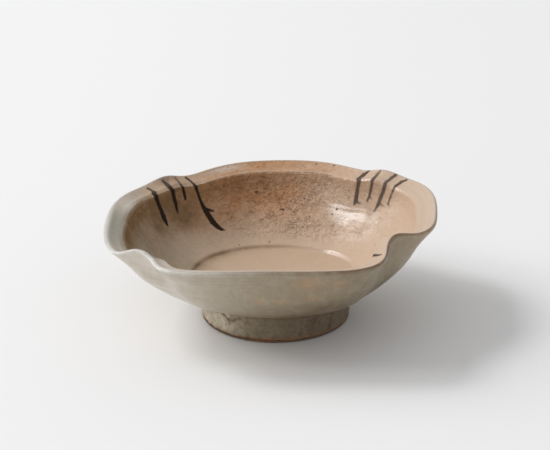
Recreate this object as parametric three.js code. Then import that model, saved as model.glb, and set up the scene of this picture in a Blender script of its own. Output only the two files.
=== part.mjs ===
// A square shallow stoneware bowl: a thrown bowl on a foot ring, its rim turned out into a narrow
// flange and pinched in at the four corners, under one coat of glaze inside and one outside.
// Millimetres, +Z up. The front of the bowl faces -Y.
import * as THREE from "three";

// Driving dimensions of the thrown form, before the rim is pressed square
const RIM_RADIUS = 71.7; // crest of the lip, halfway along a side
const RIM_HEIGHT = 48.4; // crest of the lip, halfway along a side
const LIP_THICKNESS = 2.8;
const FLANGE_WIDTH = 8.0; // the turned-out rim, from its crease to the crest
const FLANGE_RISE = 1.9; // how far the crest stands above the crease
const CREASE_STEP = 0.9; // the wall drops from the crease this much before it curves away
const FLOOR_RISE = 3.6; // the sunken floor lies this much above the crook of the foot
const WELL_MARGIN = 4.5; // the step round the sunken floor lies this far outside the foot
const WELL_DEPTH = 1.4; // drop of the step
const STEP_RUN = 1.6; // and how far in it runs
const FLOOR_SAG = 0.4; // the middle of the floor lies this much lower

// Section of the wall: shares of the way out and up, outside from the foot to the rim and inside
// from the edge of the floor to the crease
const OUTER_WALL = [
  { out: 0.31, up: 0.14 },
  { out: 0.52, up: 0.31 },
  { out: 0.7, up: 0.51 },
  { out: 0.83, up: 0.73 },
];
const INNER_WALL = [
  { out: 0.27, up: 0.14 },
  { out: 0.54, up: 0.36 },
  { out: 0.75, up: 0.57 },
  { out: 0.89, up: 0.77 },
];
const LIP_START = { out: 0.45, up: -0.9 }; // from the crest, in half thicknesses of the lip
const LIP_END = { out: -0.85, up: 0.15 };
const FLANGE_BOW = { out: 0.45, up: 0.42 }; // shares of the flange's width and rise
const STEP_BOW = { out: 0.4, up: 0.12 }; // shares of the step's run and drop
const FLOOR_BOW = { out: 0.5, up: 0.7 }; // shares of the floor's radius and sag

// Foot
const FOOT_RADIUS = 34.3; // where the foot meets the bowl
const FOOT_HEIGHT = 13.2; // from the table to the crook under the bowl
const FOOT_TAPER = 0.8; // the foot is this much narrower at the table, on each side
const FOOT_WALL = 6.9; // width of the ring at the table
const BOSS_DEPTH = 3.7; // the bowl's own clay comes down this far into the foot
const FOOT_CHAMFER = 0.9;
const FOOT_UNDERCUT = 1.2; // the ring is this much thicker at its root, inside
const CROOK = 1.0; // rounding where the foot meets the bowl

// Glaze coats
const GLAZE = 0.5;
const SEAT_GAP = 0.4; // between a coat and the clay
const LUTE_GAP = 0.3; // between the bowl and its foot ring
const LIP_GAP_ANGLE = THREE.MathUtils.degToRad(20); // half of the bare line along the lip
const BARE_FOOT = 1.6; // unglazed height at the table
const BOSS_MARGIN = 0.5; // the boss is at least this much deeper than the skin above it

// Pressing the round rim square, anticlockwise from above. Nothing moves below the press. A corner
// is pushed in by its depth over its width, and its lip stands up by its rise over its spread. Where
// bend is 1 the rise is all in the flange, bent up at its crease, where it is more the crease dips as
// well, and where it is 0 the whole wall stretches up.
const SQUARE_EXPONENT = 3.36; // 2 leaves it round, more is squarer
const SQUARE_TURN = THREE.MathUtils.degToRad(-3.1);
const PRESS_MARGIN = 1.8; // the press starts this much above the crook of the foot
const PRESS_END = 1.1; // the press stops growing this far up, as a share of the way to the rim
const SQUARE_EASE = 0.6; // how the squareness grows with height, 1 being evenly
const CORNERS = [
  { at: 48.8, width: 19.1, depth: 12.7, peak: 43.6, spread: 6.1, rise: 2.1, bend: 0 }, // back right
  { at: 130.8, width: 21.6, depth: 17.3, peak: 138.7, spread: 7.0, rise: 2.6, bend: 0.45 }, // back left
  { at: 222.2, width: 7.7, depth: 8.4, peak: 218.7, spread: 4.6, rise: 3.4, bend: 1.1 }, // front left
  { at: 322.4, width: 14.2, depth: 16.6, peak: 327.1, spread: 6.5, rise: 2.5, bend: 0 }, // front right
];
// How far the middle of each side swells out beyond the square
const SIDES = [
  { at: 0, swell: 0.3 }, // right
  { at: 90, swell: -0.1 }, // back
  { at: 180, swell: 4.0 }, // left
  { at: 270, swell: -3.5 }, // front
];
const TILT_X = 1.53; // the rim's height gained towards +X
const TILT_Y = -0.74; // and towards +Y

// Facets
const FACET_LENGTH = 5.78; // round the rim
const CORNER_BUNCHING = 0.45; // facets crowd towards the corners: 0 spaces them evenly
const FOOT_STEPS = 72;
const OUTER_WALL_STEPS = 8;
const INNER_WALL_STEPS = 7;
const COAT_LIP_STEPS = 2;
const CLAY_LIP_STEPS = 4;

const glazeInside = new THREE.MeshStandardMaterial({ color: 0xc39c7a, roughness: 0.32, metalness: 0 });
const glazeOutside = new THREE.MeshStandardMaterial({ color: 0x9c917e, roughness: 0.35, metalness: 0 });
const firedClay = new THREE.MeshStandardMaterial({ color: 0x7d5235, roughness: 0.8, metalness: 0 });

const point = (radius, height) => new THREE.Vector2(radius, height);

const halfLip = LIP_THICKNESS / 2;
const toeRadius = FOOT_RADIUS - FOOT_TAPER;
const footInnerRadius = toeRadius - FOOT_WALL;
const bossHeight = FOOT_HEIGHT - BOSS_DEPTH;
const ringHeight = bossHeight - LUTE_GAP;
const pressStart = FOOT_HEIGHT + PRESS_MARGIN;
const turnSteps = Math.round((2 * Math.PI * RIM_RADIUS) / FACET_LENGTH);
const crest = point(RIM_RADIUS, RIM_HEIGHT);
const crease = point(RIM_RADIUS - FLANGE_WIDTH, RIM_HEIGHT - FLANGE_RISE);

// A point part of the way from one point to another, with a share of its own for each direction.
function between(from, to, share) {
  return point(
    THREE.MathUtils.lerp(from.x, to.x, share.out),
    THREE.MathUtils.lerp(from.y, to.y, share.up),
  );
}

// The outside of the glazed bowl, from the table up to the start of the lip.
function outsideProfile() {
  const toe = point(toeRadius, BARE_FOOT);
  const root = point(FOOT_RADIUS, FOOT_HEIGHT - CROOK);
  const footTop = point(FOOT_RADIUS, FOOT_HEIGHT);
  const wall = new THREE.SplineCurve([
    point(FOOT_RADIUS + CROOK, FOOT_HEIGHT),
    ...OUTER_WALL.map((share) => between(footTop, crest, share)),
    point(RIM_RADIUS + LIP_START.out * halfLip, RIM_HEIGHT + LIP_START.up * halfLip),
  ]);
  return [toe, toe.clone().lerp(root, 0.5), root, ...wall.getPoints(OUTER_WALL_STEPS)];
}

// The inside of the glazed bowl, from the end of the lip down to the middle of the floor.
function insideProfile() {
  const wellEdge = point(FOOT_RADIUS + WELL_MARGIN, FOOT_HEIGHT + FLOOR_RISE + WELL_DEPTH);
  const stepFoot = point(wellEdge.x - STEP_RUN, wellEdge.y - WELL_DEPTH);
  const floorMiddle = point(0, stepFoot.y - FLOOR_SAG);
  const wall = new THREE.SplineCurve([
    point(crease.x - CREASE_STEP, crease.y - CREASE_STEP),
    ...INNER_WALL.map((share) => between(wellEdge, crease, share)).reverse(),
    wellEdge,
  ]);
  return [
    point(RIM_RADIUS + LIP_END.out * halfLip, RIM_HEIGHT + LIP_END.up * halfLip),
    between(crease, crest, FLANGE_BOW),
    crease,
    ...wall.getPoints(INNER_WALL_STEPS),
    between(stepFoot, wellEdge, STEP_BOW),
    stepFoot,
    between(stepFoot, floorMiddle, FLOOR_BOW),
    floorMiddle,
  ];
}

// Moves each point of an open profile along its normal. Positive distances go into the wall of a
// profile that runs up the outside and down the inside. Each point keeps the one it came from, so
// that both are pressed alike.
function inset(profile, distance) {
  return profile.map((here, i) => {
    const before = profile[Math.max(i - 1, 0)];
    const after = profile[Math.min(i + 1, profile.length - 1)];
    const along = after.clone().sub(before).normalize();
    const moved = point(here.x - along.y * distance, here.y + along.x * distance);
    if (here.x === 0) moved.x = 0;
    moved.skin = here;
    return moved;
  });
}

const wrapAngle = (angle) => Math.atan2(Math.sin(angle), Math.cos(angle));
const bell = (u) => Math.exp(-u * u);

// How far an angle lies from a direction, as a multiple of a width in degrees.
function awayFrom(angle, direction, width) {
  return wrapAngle(angle - THREE.MathUtils.degToRad(direction)) / THREE.MathUtils.degToRad(width);
}

// What pressing does at one angle, height and place on the flange, the last two as shares of the way
// to the crest: how far a point moves outwards and how far up.
function pressShift(angle, height, flange) {
  const turned = angle - SQUARE_TURN;
  const powers =
    Math.abs(Math.cos(turned)) ** SQUARE_EXPONENT + Math.abs(Math.sin(turned)) ** SQUARE_EXPONENT;
  let squared = RIM_RADIUS * (powers ** (-1 / SQUARE_EXPONENT) - 1);
  let raised = height * (TILT_X * Math.cos(angle) + TILT_Y * Math.sin(angle));
  let pinched = 0;
  for (const side of SIDES) {
    squared += side.swell * Math.max(Math.cos(angle - THREE.MathUtils.degToRad(side.at)), 0) ** 2;
  }
  for (const corner of CORNERS) {
    pinched += corner.depth * bell(awayFrom(angle, corner.at, corner.width));
    const lift = THREE.MathUtils.lerp(height, flange, corner.bend);
    raised += lift * corner.rise * bell(awayFrom(angle, corner.peak, corner.spread));
  }
  return { outwards: height ** SQUARE_EASE * squared - height * pinched, raised };
}

// Presses a turned profile square: nothing moves at the foot, and the rim moves the whole way.
function pressSquare(profile) {
  const geometry = turned(profile, turnSteps);
  const position = geometry.getAttribute("position");
  for (let i = 0; i < position.count; i++) {
    const here = profile[i % profile.length];
    const skin = here.skin ?? here;
    const evenAngle = Math.atan2(position.getY(i), position.getX(i));
    const angle = evenAngle + (CORNER_BUNCHING / 4) * Math.sin(4 * evenAngle);
    const height = THREE.MathUtils.clamp((skin.y - pressStart) / (RIM_HEIGHT - pressStart), 0, PRESS_END);
    const flange = THREE.MathUtils.clamp((skin.x - crease.x) / FLANGE_WIDTH, 0, 1);
    const { outwards, raised } = pressShift(angle, height, flange);
    const moved = here.x + outwards;
    position.setXYZ(i, moved * Math.cos(angle), moved * Math.sin(angle), here.y + raised);
  }
  return geometry;
}

// Turns a closed profile round the Z axis.
function turned(profile, steps) {
  return new THREE.LatheGeometry(profile, steps).rotateX(Math.PI / 2);
}

const outside = outsideProfile();
const inside = insideProfile();

// The rounded lip between the last point outside and the first point inside, or part of it.
function lipArc(startAngle, endAngle, steps) {
  const from = outside[outside.length - 1];
  const to = inside[0];
  const centre = from.clone().lerp(to, 0.5);
  const radius = from.distanceTo(to) / 2;
  const first = Math.atan2(from.y - centre.y, from.x - centre.x);
  return Array.from({ length: steps + 1 }, (_, i) => {
    const angle = first + THREE.MathUtils.lerp(startAngle, endAngle, i / steps);
    return point(centre.x + radius * Math.cos(angle), centre.y + radius * Math.sin(angle));
  });
}

// A coat is the line it lies on, set in by the glaze's thickness and run backwards, then the line.
function coat(line) {
  return [...inset(line, GLAZE).reverse(), ...line];
}

function outerCoat() {
  const line = [...outside, ...lipArc(0, Math.PI / 2 - LIP_GAP_ANGLE, COAT_LIP_STEPS).slice(1)];
  return coat(line);
}

function innerCoat() {
  const line = [...lipArc(Math.PI / 2 + LIP_GAP_ANGLE, Math.PI, COAT_LIP_STEPS), ...inside.slice(1)];
  return coat(line);
}

// The clay under both coats, closed below by the flat boss that the foot ring is luted to.
function clayBody() {
  const skin = [...outside, ...lipArc(0, Math.PI, CLAY_LIP_STEPS).slice(1, -1), ...inside];
  const core = inset(skin, GLAZE + SEAT_GAP).filter((p) => p.y > bossHeight + BOSS_MARGIN);
  const bossRadius = footRadiusAt(bossHeight);
  return [point(0, bossHeight), point(bossRadius, bossHeight), ...core];
}

// The clay's radius on the outside of the foot, under the glaze.
function footRadiusAt(height) {
  const slope = height / FOOT_HEIGHT;
  return THREE.MathUtils.lerp(toeRadius, FOOT_RADIUS, slope) - GLAZE - SEAT_GAP;
}

// The ring that the bowl stands on, bare at the table where it is wider by the glaze's thickness.
function footRing() {
  const bareTop = BARE_FOOT - LUTE_GAP;
  return [
    point(footInnerRadius + FOOT_CHAMFER, 0),
    point(toeRadius - FOOT_CHAMFER, 0),
    point(toeRadius, FOOT_CHAMFER),
    point(toeRadius, bareTop),
    point(footRadiusAt(bareTop), bareTop),
    point(footRadiusAt(ringHeight), ringHeight),
    point(footInnerRadius - FOOT_UNDERCUT, ringHeight),
    point(footInnerRadius, FOOT_CHAMFER),
    point(footInnerRadius + FOOT_CHAMFER, 0),
  ];
}

function piece(name, geometry, material) {
  const mesh = new THREE.Mesh(geometry, material);
  mesh.name = name;
  return mesh;
}

const close = (profile) => [...profile, profile[0]];

const bowl = new THREE.Group();
bowl.add(
  piece("clay_body", pressSquare(clayBody()), firedClay),
  piece("outer_glaze", pressSquare(close(outerCoat())), glazeOutside),
  piece("inner_glaze", pressSquare(innerCoat()), glazeInside),
  piece("foot_ring", turned(footRing(), FOOT_STEPS), firedClay),
);

// The origin is on the table, under the middle of the bowl's overall width and depth.
const extent = new THREE.Box3().setFromObject(bowl, true);
const middle = extent.getCenter(new THREE.Vector3());
bowl.position.set(-middle.x, -middle.y, 0);

export default bowl;
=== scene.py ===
"""A square shallow stoneware bowl with brushed iron strokes, and the small studio it stands in.

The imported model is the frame. Each of its four pieces gets a finer surface here, made from the same
turned section and the same pressing as the solids, with glaze, brushwork and trimming marks.
All sizes are in metres and the front of the bowl faces -Y.
"""

import functools
import math
from collections import namedtuple

import bpy
import numpy as np
from bpy.props import FloatProperty, FloatVectorProperty, PointerProperty
from bpy.types import Operator, Panel, PropertyGroup
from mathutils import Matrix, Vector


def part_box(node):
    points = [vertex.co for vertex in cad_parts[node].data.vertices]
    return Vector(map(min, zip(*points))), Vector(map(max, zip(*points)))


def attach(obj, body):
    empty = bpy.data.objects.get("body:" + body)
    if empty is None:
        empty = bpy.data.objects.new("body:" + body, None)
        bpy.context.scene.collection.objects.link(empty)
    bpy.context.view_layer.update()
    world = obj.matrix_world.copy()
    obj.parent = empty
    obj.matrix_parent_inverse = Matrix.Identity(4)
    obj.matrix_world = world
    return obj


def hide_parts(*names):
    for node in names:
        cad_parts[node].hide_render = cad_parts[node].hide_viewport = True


bl_info = {
    "name": "Square shallow bowl",
    "version": (1, 0, 0),
    "blender": (4, 5, 0),
    "location": "View3D > Sidebar > Bowl",
    "description": "Builds a pressed square bowl with glaze, brushed strokes and a plain studio",
    "category": "Add Mesh",
}

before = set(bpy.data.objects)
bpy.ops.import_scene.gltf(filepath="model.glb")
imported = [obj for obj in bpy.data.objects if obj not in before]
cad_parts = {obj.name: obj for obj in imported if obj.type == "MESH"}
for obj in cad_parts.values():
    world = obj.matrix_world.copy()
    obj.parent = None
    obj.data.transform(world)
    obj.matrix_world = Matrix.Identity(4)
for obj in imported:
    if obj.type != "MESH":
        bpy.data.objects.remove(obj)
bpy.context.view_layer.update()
FOOT_LOW, FOOT_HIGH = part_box("foot_ring")
FOOT_CENTRE = ((FOOT_LOW + FOOT_HIGH) / 2).to_2d()
MM = 0.001

# The four corners, anticlockwise from the back right. Each is pinched in by its depth over its
# width in degrees, and its lip stands up at its peak by its rise over its spread. Where bend is 1
# the rise is all in the flange, bent up at its crease, and where it is 0 the whole wall stretches.
Corner = namedtuple("Corner", "at width depth peak spread rise bend")
CORNERS = (
    Corner(48.8, 19.1, 12.7 * MM, 43.6, 6.1, 2.1 * MM, 0),
    Corner(130.8, 21.6, 17.3 * MM, 138.7, 7.0, 2.6 * MM, 0.45),
    Corner(222.2, 7.7, 8.4 * MM, 218.7, 4.6, 3.4 * MM, 1.1),
    Corner(322.4, 14.2, 16.6 * MM, 327.1, 6.5, 2.5 * MM, 0),
)
SIDES = ((0, 0.3 * MM), (90, -0.1 * MM), (180, 4.0 * MM), (270, -3.5 * MM))  # direction and swell
TILT_X = 1.53 * MM
TILT_Y = -0.74 * MM

# Section of the wall: shares of the way out and up, outside from the foot to the rim and inside
# from the edge of the floor to the crease
OUTER_WALL = ((0.31, 0.14), (0.52, 0.31), (0.7, 0.51), (0.83, 0.73))
INNER_WALL = ((0.27, 0.14), (0.54, 0.36), (0.75, 0.57), (0.89, 0.77))
LIP_START = (0.45, -0.9)  # from the crest, in half thicknesses of the lip
LIP_END = (-0.85, 0.15)
FLANGE_BOW = (0.45, 0.42)  # shares of the flange's width and rise
STEP_BOW = (0.4, 0.12)  # shares of the step's run and drop
FLOOR_BOW = (0.5, 0.7)  # shares of the floor's radius and sag
OUTER_STEPS, INNER_STEPS, LIP_STEPS = 160, 120, 16  # points of the curves of each part

# The glaze coats
CREST_GAP = 0.05 * MM  # from the crest of the lip to the edge of each coat
THIN_LIP = 3 * MM  # a coat has its full thickness from here on
LIP_FADE = 6 * MM  # relief fades out over this distance to the lip
MIDDLE_FADE = 32 * MM  # and over this to the middle of the floor
CRAWL_HEIGHT = 0.14 * MM  # relief of the crawled glaze on the foot
TRIM_HEIGHT = 0.12 * MM  # turning marks under the bowl
TRIM_REACH = 0.42 * MM

# The studio
FLOOR_REACH = 6.0
CAMERA_PLACE = (-0.0003, -1.0980, 0.4850)  # from the middle of the foot
CAMERA_DIP = 21.905  # degrees under level
CAMERA_LENS = 171.8
CAMERA_SENSOR = 36.0

# Brush strokes, each as points of (turn in degrees, distance in from the lip, half width), in mm
BACK_LEFT_STROKES = (
    ((147.8, 2.8, 0.45), (147.5, 5.0, 0.5), (147.4, 7.0, 0.7)),
    ((148.5, 7.5, 1.10), (149.2, 10.5, 1.12), (148.8, 14.0, 0.95), (148.5, 17.2, 0.97),
     (148.8, 20.5, 1.33), (149.2, 23.0, 1.03), (149.5, 25.5, 0.44)),
    ((141.0, 2.5, 0.53), (140.8, 5.5, 1.03), (141.2, 9.0, 1.03), (141.0, 11.2, 1.03),
     (140.8, 13.8, 0.91), (140.5, 17.0, 0.83), (140.8, 19.5, 0.70), (141.0, 22.0, 0.36)),
    ((135.2, 1.8, 0.28), (135.2, 5.0, 0.44), (136.0, 8.8, 0.61), (136.0, 10.8, 0.70),
     (135.5, 13.2, 0.74), (135.2, 15.8, 0.61)),
    ((130.0, 2.3, 0.74), (129.2, 5.2, 0.65), (129.5, 8.5, 0.78), (129.2, 10.8, 0.74),
     (128.0, 14.8, 0.61), (127.5, 17.8, 0.74), (126.8, 21.2, 0.95), (126.0, 24.0, 1.33),
     (125.2, 27.2, 1.37), (124.2, 30.8, 1.45), (122.8, 33.5, 1.24), (121.2, 35.5, 0.86),
     (119.2, 36.5, 0.28)),
    ((125.8, 22.8, 0.65), (123.8, 24.0, 0.57), (121.8, 25.2, 0.32)),
)
BACK_RIGHT_STROKES = (
    ((50.0, 1.2, 0.49), (51.0, 4.0, 1.28), (51.2, 7.8, 1.28), (50.0, 10.2, 0.99),
     (50.5, 13.5, 0.82), (50.5, 17.0, 0.95), (50.2, 20.0, 1.03), (50.5, 21.2, 0.53)),
    ((50.0, 19.8, 0.44), (47.8, 20.8, 0.40)),
    ((45.0, 1.2, 0.36), (44.8, 4.5, 0.70), (44.0, 8.5, 0.86), (43.8, 11.0, 0.70),
     (44.0, 14.0, 0.59), (44.2, 17.0, 0.51), (44.5, 19.5, 0.39)),
    ((44.0, 16.8, 0.25), (43.0, 18.0, 0.25)),
    ((38.8, 1.5, 0.76), (39.0, 4.2, 0.68), (38.8, 7.5, 0.72), (38.2, 10.2, 0.83),
     (38.5, 13.2, 0.84), (39.0, 16.2, 0.85), (39.0, 18.8, 0.81), (39.2, 21.0, 0.51),
     (39.5, 23.2, 0.30)),
    ((38.8, 18.8, 0.42), (37.5, 19.0, 0.36), (36.5, 19.0, 0.25)),
    ((34.0, 1.8, 0.55), (34.8, 4.0, 0.78), (34.5, 7.5, 0.76), (34.0, 10.0, 0.50),
     (34.5, 12.5, 0.44), (34.8, 15.0, 0.46), (34.8, 17.2, 0.42), (33.8, 18.2, 0.25)),
)
FRONT_RIGHT_STROKES = (
    ((313.2, 4.0, 0.50), (312.8, 6.8, 1.00), (312.6, 9.4, 1.15), (313.6, 13.0, 1.05),
     (314.2, 18.0, 1.03), (313.6, 23.0, 0.95), (313.0, 26.5, 0.36)),
    ((320.5, 9.4, 0.44), (320.0, 12.0, 0.86), (320.6, 16.5, 0.95), (320.3, 21.0, 0.86),
     (319.8, 24.0, 0.36)),
    ((326.4, 9.2, 0.36), (326.0, 12.5, 0.70), (326.5, 17.0, 0.78), (327.0, 20.5, 0.36)),
    ((332.5, 9.4, 0.44), (332.0, 13.0, 0.78), (332.8, 18.0, 0.86), (333.5, 24.0, 1.12),
     (334.8, 29.5, 1.50), (336.6, 32.6, 0.80)),
)
FRONT_LEFT_STROKES = (
    ((212.0, 9.6, 0.53), (212.5, 13.0, 0.95), (212.0, 18.0, 0.95), (211.5, 23.0, 0.44)),
    ((217.8, 9.6, 0.44), (218.3, 13.0, 0.78), (217.9, 17.5, 0.86), (217.4, 20.5, 0.36)),
    ((223.4, 9.6, 0.44), (223.8, 13.5, 0.70), (223.5, 18.5, 0.44)),
    ((229.0, 9.6, 0.53), (229.6, 14.0, 0.86), (230.4, 20.0, 0.95), (231.4, 26.0, 1.28),
     (233.0, 30.5, 0.44)),
)
STROKES = BACK_LEFT_STROKES + BACK_RIGHT_STROKES + FRONT_RIGHT_STROKES + FRONT_LEFT_STROKES

FAR_OUTSIDE = -3.0  # depth in mm of a point that no stroke or spot comes near
STROKE_REACH = 0.05  # no point further than this from a stroke's middle is in it
STEPS_PER_POINT = 8  # of a stroke

# Iron spots in the same measures: turn, distance in from the lip, radius
SPOTS = (
    (98.8, 19.0, 0.9), (102.4, 17.8, 0.6), (92.0, 18.2, 0.5), (86.2, 28.2, 0.85), (87.4, 28.0, 0.7),
    (58.8, 25.2, 0.8), (60.5, 28.2, 0.7), (96.5, 42.0, 0.6), (94.2, 45.8, 0.8), (114.8, 46.2, 0.6),
    (109.2, 2.5, 0.6), (98.5, 1.8, 0.6), (97.2, 5.2, 0.6), (73.8, 2.5, 0.7), (66.5, 2.0, 0.7),
    (76.5, 22.2, 0.6), (74.5, 36.8, 0.7), (54.8, 15.0, 0.6), (113.0, 30.5, 0.6), (135.0, 31.2, 0.6),
    (20.0, 34.0, 0.7), (205.0, 30.0, 0.7), (248.0, 22.0, 0.8), (262.0, 38.0, 0.6),
    (291.0, 15.0, 0.8), (303.0, 40.0, 0.6), (346.0, 24.0, 0.7), (270.0, 3.0, 0.6),
    (236.0, 44.0, 0.6), (282.0, 30.0, 0.7),
)

# Flashes where the outer glaze blushed orange: the turn and its reach, and the distance down from
# the lip and its reach
FLASHES = (
    (282.8, 4.6, 9.0, 4.6), (293.2, 2.6, 10.5, 3.0), (263.2, 2.0, 22.8, 1.8),
    (272.8, 3.4, 22.8, 1.8), (285.5, 2.2, 20.5, 1.6), (12.0, 6.0, 14.0, 5.0),
    (24.0, 3.0, 24.0, 3.0), (96.0, 5.0, 20.0, 4.0), (121.0, 3.6, 12.0, 3.6),
    (186.0, 3.0, 26.0, 3.0), (340.0, 3.0, 30.0, 3.0),
)


def length(name, description, default):
    return FloatProperty(
        name=name, description=description, default=default, unit="LENGTH", precision=5
    )


def plain(name, description, default, low=0.0, high=100.0):
    return FloatProperty(name=name, description=description, default=default, min=low, max=high)


def tint(name, description, default):
    return FloatVectorProperty(
        name=name, description=description, default=default, subtype="COLOR", size=3, min=0, max=1
    )


class BowlForm(PropertyGroup):
    """Sizes of the thrown form before it is pressed square."""

    rim_radius: length("Rim radius", "Crest of the lip, halfway along a side", 0.0717)
    rim_height: length("Rim height", "Crest of the lip above the table", 0.0484)
    lip_thickness: length("Lip thickness", "Thickness of the rounded lip", 0.0028)
    flange_width: length("Flange width", "Turned-out rim, from its crease to the crest", 0.008)
    flange_rise: length("Flange rise", "Height of the crest over the crease", 0.0019)
    crease_step: length("Crease step", "Drop of the wall at the crease before it curves", 0.0009)
    well_radius: length("Well radius", "Edge of the sunken floor", 0.0388)
    well_edge_height: length("Well edge height", "Edge of the sunken floor above the table", 0.0182)
    well_depth: length("Well depth", "Drop of the step from the edge to the floor", 0.0014)
    step_run: length("Step run", "How far in the step runs", 0.0016)
    floor_sag: length("Floor sag", "How much lower the middle of the floor lies", 0.0004)
    foot_radius: length("Foot radius", "Where the foot meets the bowl", 0.0343)
    foot_toe_radius: length("Toe radius", "The foot at the table", 0.0335)
    foot_height: length("Foot height", "From the table to the crook under the bowl", 0.0132)
    foot_inner_radius: length("Foot inner radius", "Inside of the foot ring", 0.0266)
    foot_ring_height: length("Foot ring height", "The luted ring under the bowl", 0.0092)
    foot_undercut: length("Foot undercut", "Extra thickness at the root of the ring", 0.0012)
    crook: length("Crook", "Rounding where the foot meets the bowl", 0.001)
    glaze: length("Glaze", "Thickness of a glaze coat", 0.0005)
    seat_gap: length("Seat gap", "Between a glaze coat and the clay", 0.0004)
    bare_foot: length("Bare foot", "Unglazed height at the table", 0.0016)
    press_start: length("Pressing starts", "Height below which the bowl stays round", 0.015)
    square_exponent: plain("Squareness", "2 is round, more is squarer", 3.36, 2, 8)
    skin_inset: length("Skin inset", "How far the fine skin lies inside the packed solid", 0.0001)
    square_turn: plain(
        "Square turn", "Turn of the square about the vertical, in degrees", -3.1, -45, 45
    )
    square_ease: plain("Squaring ease", "How squareness grows with height", 0.6, 0.2, 4)
    ridge_height: length("Throwing ridges", "Height of the turning marks", 0.000025)


class BowlLook(PropertyGroup):
    """Colours of clay, glaze and iron, some of them also laid on as painted light and shade."""

    inner_buff: tint(
        "Inner buff", "Buff glaze of the floor and the right wall", (0.545, 0.4, 0.288)
    )
    inner_toast: tint("Inner toast", "Toasted glaze of the back wall", (0.485, 0.226, 0.09))
    # Dark brown glaze, also laid on as painted shade under the crease on the left, along the crease
    # and at the step of the floor
    umber_and_shade: tint("Inner umber", "Thick dark glaze under the crease", (0.173, 0.096, 0.031))
    inner_grey: tint("Inner grey", "Greyer glaze of the left side", (0.33, 0.28, 0.2))
    # Pale glaze where it runs thin over an edge, also laid along the lip on the left as a painted
    # highlight
    milk_and_lip_highlight: tint(
        "Flange milk", "Pale glaze where it runs thin over an edge", (0.68, 0.655, 0.61)
    )
    outer_olive: tint("Outer olive", "Grey-green glaze of the outside", (0.36, 0.295, 0.197))
    # Paler milky glaze, laid most on the left, the side toward the window, where it also stands in
    # for light
    outer_milk_and_lit_side: tint("Outer milk", "Paler milky glaze", (0.7, 0.635, 0.545))
    # Browner glaze, laid on as painted shade low on the right and in the crook above the foot
    outer_dusk_and_shade: tint("Outer dusk", "Browner glaze low on the outside", (0.165, 0.11, 0.055))
    outer_flash: tint("Outer flash", "Orange flashes of the outside", (0.5, 0.31, 0.18))
    foot_glaze: tint("Foot glaze", "Darker crawled glaze of the foot", (0.23, 0.18, 0.115))
    # Also laid on as painted shade along the top of the foot
    lip_brown: tint("Lip brown", "Thin glaze on the edge of the lip", (0.17, 0.095, 0.045))
    # Painted shade in the hollow of the flange
    flange_hollow_shade: tint(
        "Flange channel", "Glaze pooled in the hollow of the flange", (0.225, 0.212, 0.16)
    )
    iron: tint("Iron", "Brushed iron pigment where it lies thick", (0.014, 0.006, 0.002))
    thin_iron: tint("Thin iron", "The same pigment where the brush ran dry", (0.135, 0.095, 0.075))
    stain: tint("Stain", "Iron that bled into the glaze", (0.15, 0.095, 0.075))
    pale_grain: tint("Pale grain", "Light mottling of the inner glaze", (0.7, 0.44, 0.27))
    dark_grain: tint("Dark grain", "Dark mottling of the inner glaze", (0.25, 0.115, 0.05))
    fold_brown: tint("Fold brown", "Folds in the toasted glaze", (0.16, 0.075, 0.035))
    inner_speck: tint("Inner speck", "Fine specks of the inner glaze", (0.13, 0.07, 0.04))
    iron_spot: tint("Iron spot", "Large iron spots", (0.04, 0.025, 0.018))
    iron_halo: tint("Iron halo", "Glaze stained round a brush stroke", (0.11, 0.055, 0.035))
    # Lighter at the left of the foot, toward the window: paler crawled glaze and painted light
    foot_pale_and_lit_side: tint(
        "Foot pale", "Lighter crawled glaze at the left of the foot", (0.72, 0.62, 0.47)
    )
    foot_rust: tint("Foot rust", "Brown streaks at the right of the foot", (0.13, 0.075, 0.045))
    foot_bead: tint("Foot bead", "Beads of crawled glaze", (0.45, 0.39, 0.29))
    foot_scab: tint("Foot scab", "Dark crust between the beads", (0.1, 0.07, 0.038))
    # Pale glaze under the lip, laid on the left as a painted highlight too
    lip_pale_and_highlight: tint("Rim pale", "Thin pale glaze under the lip", (0.78, 0.765, 0.73))
    mottle_brown: tint("Mottle brown", "Mottling and rings of the outside", (0.2, 0.15, 0.09))
    drip_pale: tint("Drip pale", "Pale runs of the outside", (0.6, 0.55, 0.46))
    outer_speck: tint("Outer speck", "Fine specks of the outer glaze", (0.1, 0.07, 0.045))
    clay: tint("Clay", "Bare fired clay", (0.34, 0.15, 0.06))
    dark_clay: tint("Dark clay", "Darker grain of the clay", (0.19, 0.085, 0.04))
    sand: tint("Sand", "Pale sand in the clay", (0.42, 0.3, 0.2))
    smoke: tint("Smoke", "Clay darkened in the kiln", (0.14, 0.105, 0.065))


class BowlStudio(PropertyGroup):
    """Lamps, floor and camera."""

    window_power: plain("Window power", "Power of the window in watts", 40.0, 0, 10000)
    window_bearing: plain(
        "Window bearing", "Direction of the window from the right, anticlockwise", 167, 0, 360
    )
    window_rise: plain("Window rise", "Height of the window in degrees over the floor", 49, 0, 90)
    window_size: length("Window size", "Width and height of the window", 1.0)
    glint_power: plain(
        "Glint power", "Power of the small lamp that the gloss mirrors in watts", 11.0, 0, 10000
    )
    glint_bearing: plain(
        "Glint bearing", "Direction of the small lamp from the right, anticlockwise", 192, 0, 360
    )
    glint_rise: plain("Glint rise", "Height of the small lamp in degrees over the floor", 40, 0, 90)
    glint_size: length("Glint size", "Width and height of the small lamp", 0.75)
    blind_power: plain(
        "Blind power", "Power of the wide blind behind the window in watts", 72.0, 0, 10000
    )
    blind_rise: plain("Blind rise", "Height of the blind in degrees over the floor", 36, 0, 90)
    blind_size: length("Blind size", "Width and height of the blind", 2.8)
    lamp_distance: length("Lamp distance", "From the bowl to the window and the blind", 4.0)
    sky_strength: plain("Sky strength", "Strength of the even light from all round", 0.6, 0, 10)
    floor_tint: tint("Floor", "Colour of the floor", (0.82, 0.82, 0.825))


# Section of the bowl


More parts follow.
